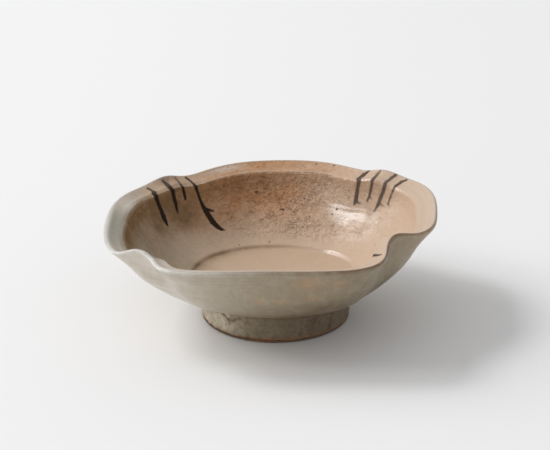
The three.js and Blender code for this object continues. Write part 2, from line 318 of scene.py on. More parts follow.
def spline(points, steps):
    """A uniform Catmull-Rom curve through the points, as steps + 1 places."""
    points = np.asarray(points, float)
    last = len(points) - 1
    t = np.linspace(0, last, steps + 1)
    i = np.minimum(t.astype(int), last - 1)
    w = (t - i)[:, None]
    before, here = points[np.maximum(i - 1, 0)], points[i]
    there, after = points[i + 1], points[np.minimum(i + 2, last)]
    leave, arrive = (there - before) / 2, (after - here) / 2
    cubic = 2 * here - 2 * there + leave + arrive
    square = -3 * here + 3 * there - 2 * leave - arrive
    return ((cubic * w + square) * w + leave) * w + here


def evenly(points, spacing):
    """The same polyline at an even spacing."""
    points = np.asarray(points, float)
    run = np.concatenate([[0], np.cumsum(np.linalg.norm(np.diff(points, axis=0), axis=1))])
    places = np.linspace(0, run[-1], int(run[-1] / spacing) + 1)
    return np.stack([np.interp(places, run, points[:, k]) for k in (0, 1)], axis=1)


def soften(points, spacing, radius):
    """Rounds every corner of an even polyline, and keeps its two ends."""
    reach = int(3 * radius / spacing)
    kernel = np.exp(-0.5 * (np.arange(-reach, reach + 1) * spacing / radius) ** 2)
    kernel /= kernel.sum()
    # Each end is carried on by its own mirror image, so that the ends stay where they are
    start = 2 * points[0] - points[reach:0:-1]
    end = 2 * points[-1] - points[-2 : -reach - 2 : -1]
    long = np.concatenate([start, points, end])
    return np.stack([np.convolve(long[:, k], kernel, mode="valid") for k in (0, 1)], axis=1)


def between(start, end, share):
    """A point part of the way between two, with a share of its own for each direction."""
    return tuple(start[k] + share[k] * (end[k] - start[k]) for k in (0, 1))


def outside_points(form):
    """The outside of the turned form, from the table up to the start of the lip."""
    crest = (form.rim_radius, form.rim_height)
    half_lip = form.lip_thickness / 2
    toe = (form.foot_toe_radius, form.bare_foot)
    root = (form.foot_radius, form.foot_height - form.crook)
    foot_top = (form.foot_radius, form.foot_height)
    wall = [
        (form.foot_radius + form.crook, form.foot_height),
        *(between(foot_top, crest, share) for share in OUTER_WALL),
        (crest[0] + LIP_START[0] * half_lip, crest[1] + LIP_START[1] * half_lip),
    ]
    return np.concatenate([[toe, between(toe, root, (0.5, 0.5)), root], spline(wall, OUTER_STEPS)])


def inside_points(form):
    """The inside of the turned form, from the end of the lip to the middle of the floor."""
    crest = (form.rim_radius, form.rim_height)
    crease = (form.rim_radius - form.flange_width, form.rim_height - form.flange_rise)
    half_lip = form.lip_thickness / 2
    well_edge = (form.well_radius, form.well_edge_height)
    step_foot = (form.well_radius - form.step_run, form.well_edge_height - form.well_depth)
    middle = (0.0, step_foot[1] - form.floor_sag)
    wall = [
        (crease[0] - form.crease_step, crease[1] - form.crease_step),
        *(between(well_edge, crease, share) for share in reversed(INNER_WALL)),
        well_edge,
    ]
    flange = [
        (crest[0] + LIP_END[0] * half_lip, crest[1] + LIP_END[1] * half_lip),
        between(crease, crest, FLANGE_BOW),
        crease,
    ]
    well = [
        between(step_foot, well_edge, STEP_BOW),
        step_foot,
        between(step_foot, middle, FLOOR_BOW),
        middle,
    ]
    return np.concatenate([flange, spline(wall, INNER_STEPS), well])


def lip_arc(start, end, steps):
    """The rounded lip, as half a circle from the outside over to the inside."""
    centre = (start + end) / 2
    radius = np.linalg.norm(end - start) / 2
    first = math.atan2(*(start - centre)[::-1])
    angles = first + np.linspace(0, math.pi, steps + 1)
    return centre + radius * np.stack([np.cos(angles), np.sin(angles)], axis=1)


class Section:
    """The glazed skin from the toe of the foot over the lip to the middle of the floor.

    Places on it are measured along the skin from the crest of the lip: positive inside the bowl,
    negative outside.
    """

    SPACING = 0.2 * MM
    ROUNDING = 0.22 * MM

    def __init__(self, form):
        outside, inside = outside_points(form), inside_points(form)
        arc = lip_arc(outside[-1], inside[0], LIP_STEPS)
        rough = np.concatenate([outside, arc[1:-1], inside])
        self.line = soften(evenly(rough, self.SPACING), self.SPACING, self.ROUNDING)
        self.line[-1, 0] = 0
        run = np.linalg.norm(np.diff(self.line, axis=0), axis=1)
        travelled = np.concatenate([[0], np.cumsum(run)])
        crest = int(np.argmin(np.linalg.norm(self.line - arc[LIP_STEPS // 2], axis=1)))
        self.place = travelled - travelled[crest]
        along = np.gradient(self.line, axis=0)
        along /= np.linalg.norm(along, axis=1)[:, None]
        self.outward = np.stack([along[:, 1], -along[:, 0]], axis=1)
        self.outward[-1] = (0, 1)

    def inside_place(self, radius):
        """The place inside the bowl where the skin comes in to a radius."""
        inside = self.place > 0
        return np.interp(-radius, -self.line[inside, 0], self.place[inside])

    def at(self, places, depth=0.0):
        """Radius and height at some places, set in under the skin by a depth."""
        radius = np.interp(places, self.place, self.line[:, 0])
        height = np.interp(places, self.place, self.line[:, 1])
        out_r = np.interp(places, self.place, self.outward[:, 0])
        out_z = np.interp(places, self.place, self.outward[:, 1])
        return np.stack([radius - depth * out_r, height - depth * out_z], axis=-1)


# Pressing the round form square


def away_from(angle, direction, width):
    """How far angles lie from a direction, as a multiple of a width. Both are in degrees."""
    away = angle - math.radians(direction)
    return np.arctan2(np.sin(away), np.cos(away)) / math.radians(width)


def rise(values, low, high):
    """0 below low, 1 above high and smooth between."""
    share = np.clip((values - low) / (high - low), 0, 1)
    return share * share * (3 - 2 * share)


def bell(angle, direction, width):
    """1 in a direction and fading over a width on both sides. Both are in degrees."""
    return np.exp(-away_from(angle, direction, width) ** 2)


def press_shift(form, angle, height, flange):
    """How far pressing moves points outwards and up. Height and flange are shares of the way up the
    wall and out along the flange."""
    turned = angle - math.radians(form.square_turn)
    power = form.square_exponent
    powers = np.abs(np.cos(turned)) ** power + np.abs(np.sin(turned)) ** power
    squared = form.rim_radius * (powers ** (-1 / power) - 1)
    pinched = np.zeros_like(angle)
    raised = height * (TILT_X * np.cos(angle) + TILT_Y * np.sin(angle))
    for direction, swell in SIDES:
        squared = squared + swell * np.maximum(np.cos(angle - math.radians(direction)), 0) ** 2
    for corner in CORNERS:
        pinched += corner.depth * bell(angle, corner.at, corner.width)
        lift = height + (flange - height) * corner.bend
        raised = raised + lift * corner.rise * bell(angle, corner.peak, corner.spread)
    return height**form.square_ease * squared - height * pinched, raised


def press(form, line, angle, skin=None):
    """Places in the frame of points of the turned form after it is pressed square. Points given by
    radius and height that lie under the skin move as the skin above them does."""
    radius, height = line[..., 0], line[..., 1]
    above, level = (radius, height) if skin is None else (skin[..., 0], skin[..., 1])
    share = np.clip((level - form.press_start) / (form.rim_height - form.press_start), 0, 1.1)
    flange = np.clip((above - form.rim_radius) / form.flange_width + 1, 0, 1)
    outwards, raised = press_shift(form, angle, share, flange)
    moved = radius + outwards
    return np.stack(
        [
            FOOT_CENTRE.x + moved * np.cos(angle),
            FOOT_CENTRE.y + moved * np.sin(angle),
            height + raised,
        ],
        axis=-1,
    )


# Meshes


# Stretches of the bowl that carry brushwork, in degrees round from the right
BRUSHED = ((29, 156), (204, 236), (306, 342))
USUAL_RADIUS = 0.05  # of the bowl, for the number of waves round it


def crowded_angles(fine, coarse):
    """Angles round the bowl in radians, fine steps where it is brushed and coarse ones between."""
    edges = []
    for k, (low, high) in enumerate(BRUSHED):
        last = k == len(BRUSHED) - 1
        following = BRUSHED[0][0] + 360 if last else BRUSHED[k + 1][0]
        edges.append(np.arange(low, high, fine))
        count = round((following - high) / coarse)
        edges.append(np.linspace(high, following, count, endpoint=False))
    return np.radians(np.concatenate(edges))


def ripple(angle, place, size, seed, count=24):
    """Smooth unevenness over a turned surface, between about -1 and 1."""
    rng = np.random.default_rng(seed)
    total = np.zeros(np.broadcast(angle, place).shape)
    for _ in range(count):
        bearing = rng.uniform(0, math.pi)
        wave = 2 * math.pi / (size * rng.uniform(0.7, 1.6))
        # A whole number of waves round the bowl closes the pattern on itself
        around = round(wave * math.cos(bearing) * USUAL_RADIUS)
        start = rng.uniform(0, 2 * math.pi)
        total = total + np.sin(around * angle + wave * math.sin(bearing) * place + start)
    return total / math.sqrt(count)


def mesh_piece(name, grid, closed_loop, node, material, masks=None):
    """A closed surface from rows of points round the bowl. Unless the rows close into a loop, the
    first and the last row are single points on the axis."""
    rows, columns = grid.shape[:2]
    if closed_loop:
        vertices = grid.reshape(-1, 3)
        index = np.arange(rows * columns).reshape(rows, columns)
        index = np.concatenate([index, index[:1]])
    else:
        vertices = np.concatenate([grid[0, :1], grid[1:-1].reshape(-1, 3), grid[-1, :1]])
        index = np.arange((rows - 2) * columns).reshape(rows - 2, columns) + 1
    after = np.roll(index, -1, axis=1)
    quads = np.stack([index[:-1], after[:-1], after[1:], index[1:]], axis=-1).reshape(-1, 4)
    faces = quads.tolist()
    if not closed_loop:
        top = len(vertices) - 1
        faces += [[0, b, a] for a, b in zip(index[0], after[0])]
        faces += [[a, b, top] for a, b in zip(index[-1], after[-1])]
    mesh = bpy.data.meshes.new(name)
    mesh.from_pydata(vertices.tolist(), [], faces)
    mesh.update()
    for label, values in (masks or {}).items():
        if closed_loop:
            flat = values.reshape(-1)
        else:
            flat = np.concatenate([values[0, :1], values[1:-1].reshape(-1), values[-1, :1]])
        layer = mesh.attributes.new(label, "FLOAT", "POINT")
        layer.data.foreach_set("value", flat.astype(np.float32))
    mesh.polygons.foreach_set("use_smooth", np.ones(len(faces), bool))
    mesh.materials.append(material)
    piece = bpy.data.objects.new(name, mesh)
    bpy.context.scene.collection.objects.link(piece)
    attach(piece, "root")
    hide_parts(node)


def grid_normals(grid):
    """Outward unit normals of rows of points that wrap round the bowl."""
    around = np.roll(grid, -1, axis=1) - np.roll(grid, 1, axis=1)
    along = np.gradient(grid, axis=0)
    normal = np.cross(around, along)
    size = np.linalg.norm(normal, axis=-1, keepdims=True)
    return np.divide(normal, size, out=np.zeros_like(normal), where=size > 1e-12)


def stroke_depth(form, section, points):
    """How far inside a brush stroke each point lies, in mm: negative outside all strokes."""
    deepest = np.full(points.shape[:-1], FAR_OUTSIDE)
    for stroke in STROKES:
        control = np.asarray(stroke, float)
        last = len(control) - 1
        t = np.linspace(0, last, STEPS_PER_POINT * last + 1)
        turn, place, half = (np.interp(t, np.arange(last + 1), column) for column in control.T)
        path = press(form, section.at(place * MM), np.radians(turn))
        near = np.linalg.norm(points - path[len(path) // 2], axis=-1) < STROKE_REACH
        p = points[near]
        best = np.full(len(p), FAR_OUTSIDE)
        for a, b, wa, wb in zip(path[:-1], path[1:], half[:-1], half[1:]):
            run = b - a
            s = np.clip((p - a) @ run / (run @ run), 0, 1)
            away = np.linalg.norm(p - (a + s[:, None] * run), axis=-1) / MM
            best = np.maximum(best, wa + (wb - wa) * s - away)
        deepest[near] = np.maximum(deepest[near], best)
    return deepest


def spot_depth(form, section, points):
    """How far inside an iron spot each point lies, in mm: negative outside all spots."""
    deepest = np.full(points.shape[:-1], FAR_OUTSIDE)
    for turn, place, radius in SPOTS:
        middle = press(form, section.at(place * MM), np.radians(turn))
        deepest = np.maximum(deepest, radius - np.linalg.norm(points - middle, axis=-1) / MM)
    return deepest


# Filling node trees

CLOUDS, WRINKLES, SPECKS = "Glaze clouds", "Glaze wrinkles", "Scattered specks"


class Board:
    """A node tree and the ways to fill it. Each new node takes the next place on a grid. Where a
    value is asked for, it may be a number, another node's output or the name of a mask, which the
    mesh carries for each of its points."""

    ROWS = 10
    CORNER = (-2600, 900)
    PITCH = (220, 200)

    def __init__(self, tree):
        self.tree = tree

    def feed(self, socket, value):
        """Sets a socket, or links it where the value is an output or a mask."""
        if isinstance(value, str):
            value = self.put("ShaderNodeAttribute", attribute_name=value).outputs["Fac"]
        if isinstance(value, bpy.types.NodeSocket):
            self.tree.links.new(value, socket)
        else:
            socket.default_value = (*value, 1) if socket.type == "RGBA" else value

    def fill(self, node, inputs):
        for key, value in inputs.items():
            self.feed(node.inputs[key], value)
        return node

    def put(self, kind, inputs=None, **settings):
        node = self.tree.nodes.new(kind)
        column, row = divmod(len(self.tree.nodes), self.ROWS)
        across, down = self.PITCH[0] * column, self.PITCH[1] * row
        node.location = (self.CORNER[0] + across, self.CORNER[1] - down)
        for key, value in settings.items():
            setattr(node, key, value)
        return self.fill(node, inputs or {})

    def places_in_mm(self):
        place = self.put("ShaderNodeTexCoord").outputs["Object"]
        scaled = self.put("ShaderNodeVectorMath", {0: place, "Scale": 1 / MM}, operation="SCALE")
        return scaled.outputs["Vector"]

    def math(self, operation, *values, clamp=False):
        node = self.put("ShaderNodeMath", operation=operation, use_clamp=clamp)
        return self.fill(node, dict(enumerate(values))).outputs[0]

    def times(self, first, *others):
        for value in others:
            first = self.math("MULTIPLY", first, value)
        return first

    def scaled(self, value, scale, base):
        """Base plus scale times the value."""
        return self.math("MULTIPLY_ADD", value, scale, base)

    def ramp(self, value, low, high):
        """0 at low, 1 at high and smooth between."""
        inputs = {"Value": value, "From Min": low, "From Max": high}
        node = self.put("ShaderNodeMapRange", inputs, interpolation_type="SMOOTHSTEP")
        return node.outputs["Result"]

    def blend(self, share, first, second):
        node = self.put("ShaderNodeMix", data_type="RGBA")
        sockets = {socket.identifier: socket for socket in node.inputs}
        self.feed(sockets["Factor_Float"], share)
        self.feed(sockets["A_Color"], first)
        self.feed(sockets["B_Color"], second)
        return next(s for s in node.outputs if s.identifier == "Result_Color")

    def layers(self, colour, *coats):
        """Lays coats of (tone, share, and each mask or pattern that says where) over a colour."""
        for tone, share, *where in coats:
            colour = self.blend(self.times(*where, share), colour, tone)
        return colour

    def stretch(self, vector, level, upright):
        """The same places squeezed, so that a pattern on them runs in level or upright streaks."""
        squeeze = {0: vector, 1: (level, level, upright)}
        return self.put("ShaderNodeVectorMath", squeeze, operation="MULTIPLY").outputs["Vector"]

    def bump(self, height, distance, strength):
        inputs = {"Height": height, "Distance": distance, "Strength": strength}
        return self.put("ShaderNodeBump", inputs).outputs["Normal"]

    def texture(self, name, vector, **values):
        """One of the shared groups below, made when it is first used, with values of its own."""
        group = bpy.data.node_groups.get(name) or GROUP_MAKERS[name]()
        return self.put("ShaderNodeGroup", {"Vector": vector, **values}, node_tree=group).outputs[0]


def open_group(name, **defaults):
    """The board of a new group that takes a vector and some values, and what it is given."""
    group = bpy.data.node_groups.new(name, "ShaderNodeTree")
    group.interface.new_socket("Vector", in_out="INPUT", socket_type="NodeSocketVector")
    for label, default in defaults.items():
        socket = group.interface.new_socket(label, in_out="INPUT", socket_type="NodeSocketFloat")
        socket.default_value = default
    board = Board(group)
    return board, board.put("NodeGroupInput").outputs


def close_group(board, label, value):
    board.tree.interface.new_socket(label, in_out="OUTPUT", socket_type="NodeSocketFloat")
    board.put("NodeGroupOutput", {label: value})
    return board.tree


def clouds_group():
    """Soft cloudy variation, for colour drifts in a glaze."""
    board, given = open_group(CLOUDS, Scale=1.0, Detail=4.0, Low=0.35, High=0.65)
    inputs = {key: given[key] for key in ("Vector", "Scale", "Detail")}
    noise = board.put("ShaderNodeTexNoise", {**inputs, "Roughness": 0.6})
    clouds = board.ramp(noise.outputs["Fac"], given["Low"], given["High"])
    return close_group(board, "Clouds", clouds)


def wrinkles_group():
    """Thin winding lines where a glaze has folded: 1 on a line and 0 away from it."""
    board, given = open_group(WRINKLES, Scale=1.0, Detail=3.0, Width=0.05)
    inputs = {key: given[key] for key in ("Vector", "Scale", "Detail")}
    noise = board.put("ShaderNodeTexNoise", {**inputs, "Distortion": 0.8})
    away = board.math("ABSOLUTE", board.math("SUBTRACT", noise.outputs["Fac"], 0.5))
    share = board.math("DIVIDE", away, given["Width"], clamp=True)
    return close_group(board, "Wrinkles", board.scaled(share, -1.0, 1.0))


def specks_group():
    """Scattered dots of mixed size: iron specks, pinholes or sand, by the values it is given."""
    board, given = open_group(SPECKS, Scale=1.0, Size=0.2, Share=0.5)
    inputs = {key: given[key] for key in ("Vector", "Scale")}
    cells = board.put("ShaderNodeTexVoronoi", inputs, feature="F1").outputs
    chance = board.put("ShaderNodeSeparateColor", {"Color": cells["Color"]}).outputs
    kept = board.math("LESS_THAN", chance["Red"], given["Share"])
    reach = board.times(chance["Green"], given["Size"], kept)
    gap = board.math("SUBTRACT", reach, cells["Distance"])
    sharp_edge = board.math("MULTIPLY", gap, 12.0, clamp=True)
    return close_group(board, "Specks", sharp_edge)


GROUP_MAKERS = {CLOUDS: clouds_group, WRINKLES: wrinkles_group, SPECKS: specks_group}


def start_material(name):
    """A new material with its board and its shader."""
    material = bpy.data.materials.new(name)
    material.use_nodes = True
    shader = next(n for n in material.node_tree.nodes if n.type == "BSDF_PRINCIPLED")
    return material, Board(material.node_tree), shader


# Masks: where each tone lies on the skin


def measures(angle, place):
    """Ways to say where a mark lies, each 0 to 1: near a turn in degrees round from the right, and
    near, past or before a place in mm from the lip. Each takes a middle and a reach, or the two
    places between which it changes."""
    return (
        lambda turn, reach: bell(angle, turn, reach),
        lambda middle, reach: np.exp(-(((place - middle) / reach) ** 2)),
        lambda low, high: rise(place, low, high),
        lambda low, high: 1 - rise(place, low, high),
    )


def most(*masks):
    """The strongest of some masks at each point."""
    return functools.reduce(np.maximum, masks)


def inner_masks(angle, place, crease, step):
    """Where the inner glaze is toasted, thick, grey, thin, rough and glossy, and where light and
    shade are painted on it: shade under the crease, in the hollow of the flange and at the step of
    the floor, and a highlight along the lip. The crease and the step of the floor are places too."""
    turn, near, past, before = measures(angle, place)
    wall = past(crease - 0.3, crease + 0.9)
    flange = before(crease - 0.9, crease)
    degrees = np.degrees(angle)
    ragged_place = place + 0.3 * np.sin(0.9 * degrees) * np.sin(0.31 * degrees)
    left_wall = rise(ragged_place, crease - 2.1, crease - 1.5)
    back_toast = turn(106, 39) * (1 - 0.8 * turn(60, 13)) * wall * before(20.0, 40.0)
    pale_under_crease = 1 - 0.6 * turn(103, 24) * before(9.5, 12.5)
    # Dark brown under the crease on the left and down the back-left wall: darker glaze, and painted
    # shade on this side, which faces away from the window
    umber = most(
        turn(178, 34) * left_wall * before(13.0, 25.0),
        0.95 * turn(146, 23) * wall * before(24.0, 38.0),
    )
    # Painted shade in the crease under the flange
    crease_shade = most(
        0.6 * near(crease - 0.9, 0.6) * turn(178, 26),
        0.35 * near(crease + 0.5, 0.6) * turn(100, 38),
    )
    # Painted shade at the step of the floor and in a soft band below it, strongest on the left where
    # the step faces away from the window
    worn = near(step, 1.05) + 0.4 * near(step + 1.8, 2.2) * turn(140, 36)
    window_patch = np.exp(-((away_from(angle, 51.5, 14) ** 2 + ((place - 26.0) / 6.5) ** 2) ** 2))
    return {
        "grey": most(turn(190, 44) * before(46.0, 60.0), 0.35 * turn(235, 40) * flange),
        # Painted shade in the hollow of the flange on the left
        "channel": turn(188, 17) * flange * past(2.0, 3.0),
        "stain": most(
            0.75 * turn(139.5, 4.5) * near(2.2, 2.0),
            0.45 * turn(134, 9) * flange * past(4.0, 7.0),
        ),
        "thin": most(
            0.95 * turn(42, 16),
            0.8 * turn(322, 18),
            0.55 * before(crease - 3.0, crease - 0.5) * turn(138, 20),
        ),
        "toast": most(
            back_toast,
            0.6 * turn(66, 22) * near(crease + 0.4, 1.3) * wall,
            0.75 * turn(96, 32) * flange * past(0.3, 2.0),
        ),
        "deep": most(
            0.58 * turn(108, 32) * wall * before(12.0, 27.0) * pale_under_crease,
            0.8 * turn(120, 10) * near(14.0, 3.5),
            0.22 * turn(100, 28) * flange,
        ),
        "umber": np.clip(umber + crease_shade, 0, 1),
        "worn": worn * (0.2 + 0.8 * turn(145, 48)) * (1 - 0.9 * turn(45, 26)),
        "milk": most(
            # Along the lip on the left: paler glaze and a painted highlight
            before(1.7, 2.4) * np.minimum(1.4 * turn(208, 44), 1),
            0.5 * near(3.2, 2.0) * turn(112, 8),
            0.45 * flange * turn(232, 14),
            0.4 * flange * turn(164, 8),
            0.1 * flange * turn(15, 35),
        ),
        "lip": before(0.25, 0.9) * most(turn(318, 50), 0.75 * turn(105, 50)),
        "rough": most(
            0.12 + 0.88 * turn(84, 42) * before(36.0, 48.0) * (0.4 + 0.6 * wall),
            0.35 * turn(165, 30) * wall * before(28.0, 40.0),
        ),
        "gloss": most(
            0.08 + 0.92 * window_patch,
            0.6 * turn(65, 18) * near(20.0, 8.0) * wall,
            near(step - 0.8, 1.3) * turn(58, 14),
            near(crease, 1.2) * turn(42, 8),
            0.9 * before(1.0, 2.2),
            0.5 * flange * turn(190, 40),
        ),
    }


def outer_masks(angle, place, foot_top):
    """Where the outer glaze is milky, flashed or thin, and where light and shade are painted on it:
    lighter on the left, darker low on the right and in the crook above the foot, and a highlight
    along the lip on the left. The foot's top is a place too.
    """
    turn, near, past, before = measures(angle, place)
    foot = past(foot_top - 1.5, foot_top + 1.5)
    low = past(16.0, 40.0)
    # Paler on the left, the side toward the window: a paler glaze there and painted light
    milk = most(np.minimum(1.25 * turn(200, 38), 1), 0.25 * turn(347, 15), 0.35 * turn(80, 60))
    # Painted shade low on the right side, away from the window, over browner glaze
    right_side_shade = 1.4 * (0.25 + 0.75 * low) * turn(306, 30) + low * turn(338, 22)
    # Painted shade in the crook under the bowl, but for the left
    crook_shade = 0.3 * past(46.0, 54.0) * (1 - turn(200, 40))
    winding_place = foot_top + 3.4 + 1.2 * np.sin(np.degrees(angle) / 3.3)
    flashes = [turn(at, reach) * near(down, high) for at, reach, down, high in FLASHES]
    return {
        "milk": milk * (1 - 0.1 * low),
        "dusk": np.clip(right_side_shade + crook_shade, 0, 1),
        "flash": most(*flashes, 0.6 * turn(344, 12) * before(6.0, 18.0)),
        "foot": foot,
        # Lighter on the left of the foot, toward the window: paler glaze and painted light
        "foot_light": foot * turn(215, 32),
        "foot_dark": foot * turn(325, 46),
        # A ragged brown line where the glaze crawled at the left of the foot, and painted shade along
        # the top of the foot under the bowl
        "crevice": most(
            1.3 * near(winding_place, 0.8) * np.minimum(turn(232, 15), 0.77),
            # Painted shade along the top of the foot, but for the left
            0.5 * near(foot_top + 1.0, 1.0) * (1 - turn(210, 30)),
        ),
        "burnt": foot * past(63.8, 65.2),
        # Near white along the lip on the left: paler glaze and a painted highlight
        "pale": before(1.4, 2.8) * np.minimum(1.3 * turn(212, 38), 1),
        "lip": most(
            before(0.5, 1.4) * most(turn(312, 42), 0.7 * turn(90, 70)),
            0.5 * near(1.4, 0.7) * turn(285, 42),
        ),
    }


# Materials


def inner_glaze_material(look):
    material, board, shader = start_material("inner_glaze")
    mm = board.places_in_mm()
    drift = board.texture(CLOUDS, mm, Scale=0.09, Detail=5, Low=0.3, High=0.7)
    grain = board.texture(CLOUDS, mm, Scale=0.42, Detail=6, Low=0.32, High=0.7)
    level = board.stretch(mm, 0.5, 1.1)
    folds = board.times(
        board.texture(WRINKLES, level, Scale=0.36, Detail=4, Width=0.022),
        board.texture(CLOUDS, mm, Scale=0.16, Detail=4, Low=0.3, High=0.62),
    )
    fine = board.texture(SPECKS, mm, Scale=0.62, Size=0.3, Share=0.3)
    uneven = board.scaled(drift, 0.7, 0.65)
    ragged = board.scaled(grain, 0.8, 0.55)

    # The masks of strokes and spots say how deep inside them a point lies, in mm
    spots = board.ramp("spots", -0.15, 0.4)
    bristles = board.texture(CLOUDS, mm, Scale=1.9, Detail=5, Low=0.2, High=0.8)
    frayed = board.scaled(bristles, 0.55, "iron")
    painted = board.ramp(frayed, 0.06, 0.44)
    fringe = board.ramp(frayed, -0.3, 0.3)
    dry_brush = board.times("thin", board.scaled(grain, 0.5, 0.7))
    iron = board.blend(dry_brush, look.iron, look.thin_iron)

    colour = board.layers(
        look.inner_buff,
        (look.inner_grey, 1.0, "grey", uneven),
        (look.inner_toast, 1.0, "toast", uneven),
        (look.umber_and_shade, 1.0, "deep", uneven),
        # Dark brown under the crease, in part painted shade, and painted shade along the crease
        (look.umber_and_shade, 1.0, "umber", uneven),
        # Painted shade in the hollow of the flange
        (look.flange_hollow_shade, 0.9, "channel"),
        # Painted shade at the step of the floor
        (look.umber_and_shade, 0.7, "worn", uneven),
        # Pale glaze, and a painted highlight along the lip on the left
        (look.milk_and_lip_highlight, 1.0, "milk"),
        (look.stain, 0.9, "stain", ragged),
        (look.lip_brown, 0.9, "lip", uneven),
        (look.pale_grain, 0.22, board.ramp(grain, 0.75, 0.05), "rough"),
        (look.dark_grain, 0.34, grain, "rough"),
        (look.fold_brown, 0.5, folds, "toast"),
        (look.inner_speck, 0.6, fine, "rough"),
        (look.iron_spot, 0.85, spots),
        (look.iron_halo, 0.45, fringe),
        (iron, 0.96, painted),
    )
    covered = board.math("MAXIMUM", painted, spots)
    pits = board.texture(SPECKS, mm, Scale=0.45, Size=0.35, Share=0.35)
    orange_peel = board.texture(CLOUDS, mm, Scale=0.5, Detail=5, Low=0.2, High=0.8)
    ripples = board.texture(CLOUDS, mm, Scale=1.3, Detail=4, Low=0.3, High=0.7)
    dents = board.scaled(pits, -0.5, orange_peel)
    dents = board.scaled(folds, -0.7, dents)
    dents = board.scaled(ripples, 0.3, dents)
    height = board.scaled(dents, "rough", board.times(ripples, "gloss", 0.3))
    board.fill(shader, {
        "Base Color": colour,
        "Roughness": board.math("MAXIMUM", board.scaled(grain, 0.12, 0.32), painted),
        "Specular IOR Level": 0.35,
        "Coat Weight": board.times("gloss", board.scaled(covered, -0.85, 1.0)),
        "Coat Roughness": 0.13,
        "Coat IOR": 1.6,
        "Normal": board.bump(height, 0.42 * MM, 1.0),
    })
    return material


def outer_glaze_material(look):
    material, board, shader = start_material("outer_glaze")
    mm = board.places_in_mm()
    drift = board.texture(CLOUDS, mm, Scale=0.07, Detail=5, Low=0.3, High=0.7)
    crawl = board.texture(CLOUDS, mm, Scale=0.4, Detail=7, Low=0.3, High=0.7)
    mottle = board.texture(CLOUDS, mm, Scale=0.35, Detail=6, Low=0.35, High=0.7)
    scabs = board.texture(CLOUDS, mm, Scale=0.5, Detail=8, Low=0.42, High=0.72)
    upright = board.stretch(mm, 0.4, 0.09)
    drips = board.texture(CLOUDS, upright, Scale=0.7, Detail=4, Low=0.45, High=0.68)
    level = board.stretch(mm, 0.03, 0.9)
    rings = board.texture(CLOUDS, level, Scale=1.0, Detail=3, Low=0.45, High=0.7)
    fine = board.texture(SPECKS, mm, Scale=0.5, Size=0.26, Share=0.16)
    beads = board.texture(SPECKS, mm, Scale=0.4, Size=0.4, Share=0.3)
    uneven = board.scaled(drift, 0.6, 0.7)
    ragged = board.scaled(crawl, 1.1, 0.4)
    above_foot = board.scaled("foot", -1.0, 1.0)
    colour = board.layers(
        look.outer_olive,
        # Paler glaze, and painted light on the left
        (look.outer_milk_and_lit_side, 1.0, "milk", uneven),
        # Painted shade low on the right and in the crook, over browner glaze
        (look.outer_dusk_and_shade, 1.0, "dusk", uneven),
        (look.outer_flash, 0.75, "flash", uneven),
        (look.foot_glaze, 1.0, "foot"),
        # Paler glaze and painted light on the left of the foot
        (look.foot_pale_and_lit_side, 0.95, "foot_light", uneven),
        (look.foot_rust, 0.7, "foot_dark", board.scaled(drips, 1.5, 0.35)),
        # Crawled glaze line, and painted shade along the top of the foot
        (look.lip_brown, 0.95, "crevice", ragged),
        (look.clay, 0.8, "burnt", ragged),
        # Painted highlight along the lip on the left, over paler glaze
        (look.lip_pale_and_highlight, 0.8, "pale"),
        (look.lip_brown, 0.85, "lip", uneven),
        (look.mottle_brown, 0.16, mottle),
        (look.drip_pale, 0.16, drips, above_foot),
        (look.mottle_brown, 0.14, rings, above_foot),
        (look.outer_speck, 0.45, fine),
        (look.foot_bead, 0.2, beads, "foot"),
        (look.foot_scab, 0.5, scabs, "foot"),
    )
    peel = board.texture(CLOUDS, mm, Scale=0.3, Detail=4, Low=0.2, High=0.8)
    crust = board.times(board.math("ADD", crawl, beads), "foot")
    board.fill(shader, {
        "Base Color": colour,
        "Roughness": board.scaled("foot", 0.14, 0.32),
        "Specular IOR Level": 0.4,
        "Normal": board.bump(board.scaled(peel, 0.5, crust), 0.45 * MM, 0.9),
    })
    return material


def clay_material(look):
    material, board, shader = start_material("fired_clay")
    mm = board.places_in_mm()
    grain = board.texture(CLOUDS, mm, Scale=0.8, Detail=7, Low=0.3, High=0.7)
    sand = board.texture(SPECKS, mm, Scale=0.9, Size=0.35, Share=0.3)
    colour = board.layers(
        look.clay,
        (look.dark_clay, 1.0, grain),
        (look.sand, 0.5, sand),
        (look.smoke, 0.88, "smoked"),
    )
    normal = board.bump(grain, 0.3 * MM, 0.8)
    board.fill(shader, {"Base Color": colour, "Roughness": 0.8, "Normal": normal})
    return material


# Pieces


def spans(*stretches):
    """Places along the skin from stretches of (start, end, spacing), each without its end."""
    return np.concatenate([np.arange(low, high, step) for low, high, step in stretches])[:, None]


def glaze_relief(form, angle, places, pitch, lump_height, lump_size, seed):
    """Turning marks and soft lumps of a glaze, which fade out towards the lip."""
    marks = form.ridge_height * np.sin(2 * math.pi * places / pitch + angle)
    lumps = lump_height * ripple(angle, places, lump_size, seed)
    return np.clip(np.abs(places) / LIP_FADE, 0, 1) * (marks + lumps)


def glaze_skin(form, section, angle, places, relief):
    """The side of a coat that is seen, raised by its relief."""
    surface = press(form, section.at(places, form.skin_inset), angle)
    return surface + grid_normals(surface) * relief[..., None]


def glaze_lining(form, section, angle, places):
    """The side of a coat that lies towards the clay. The coat is thinner at the lip."""
    taper = 0.3 + 0.7 * np.clip(np.abs(places) / THIN_LIP, 0, 1)
    return press(form, section.at(places, form.glaze * taper), angle, section.at(places))


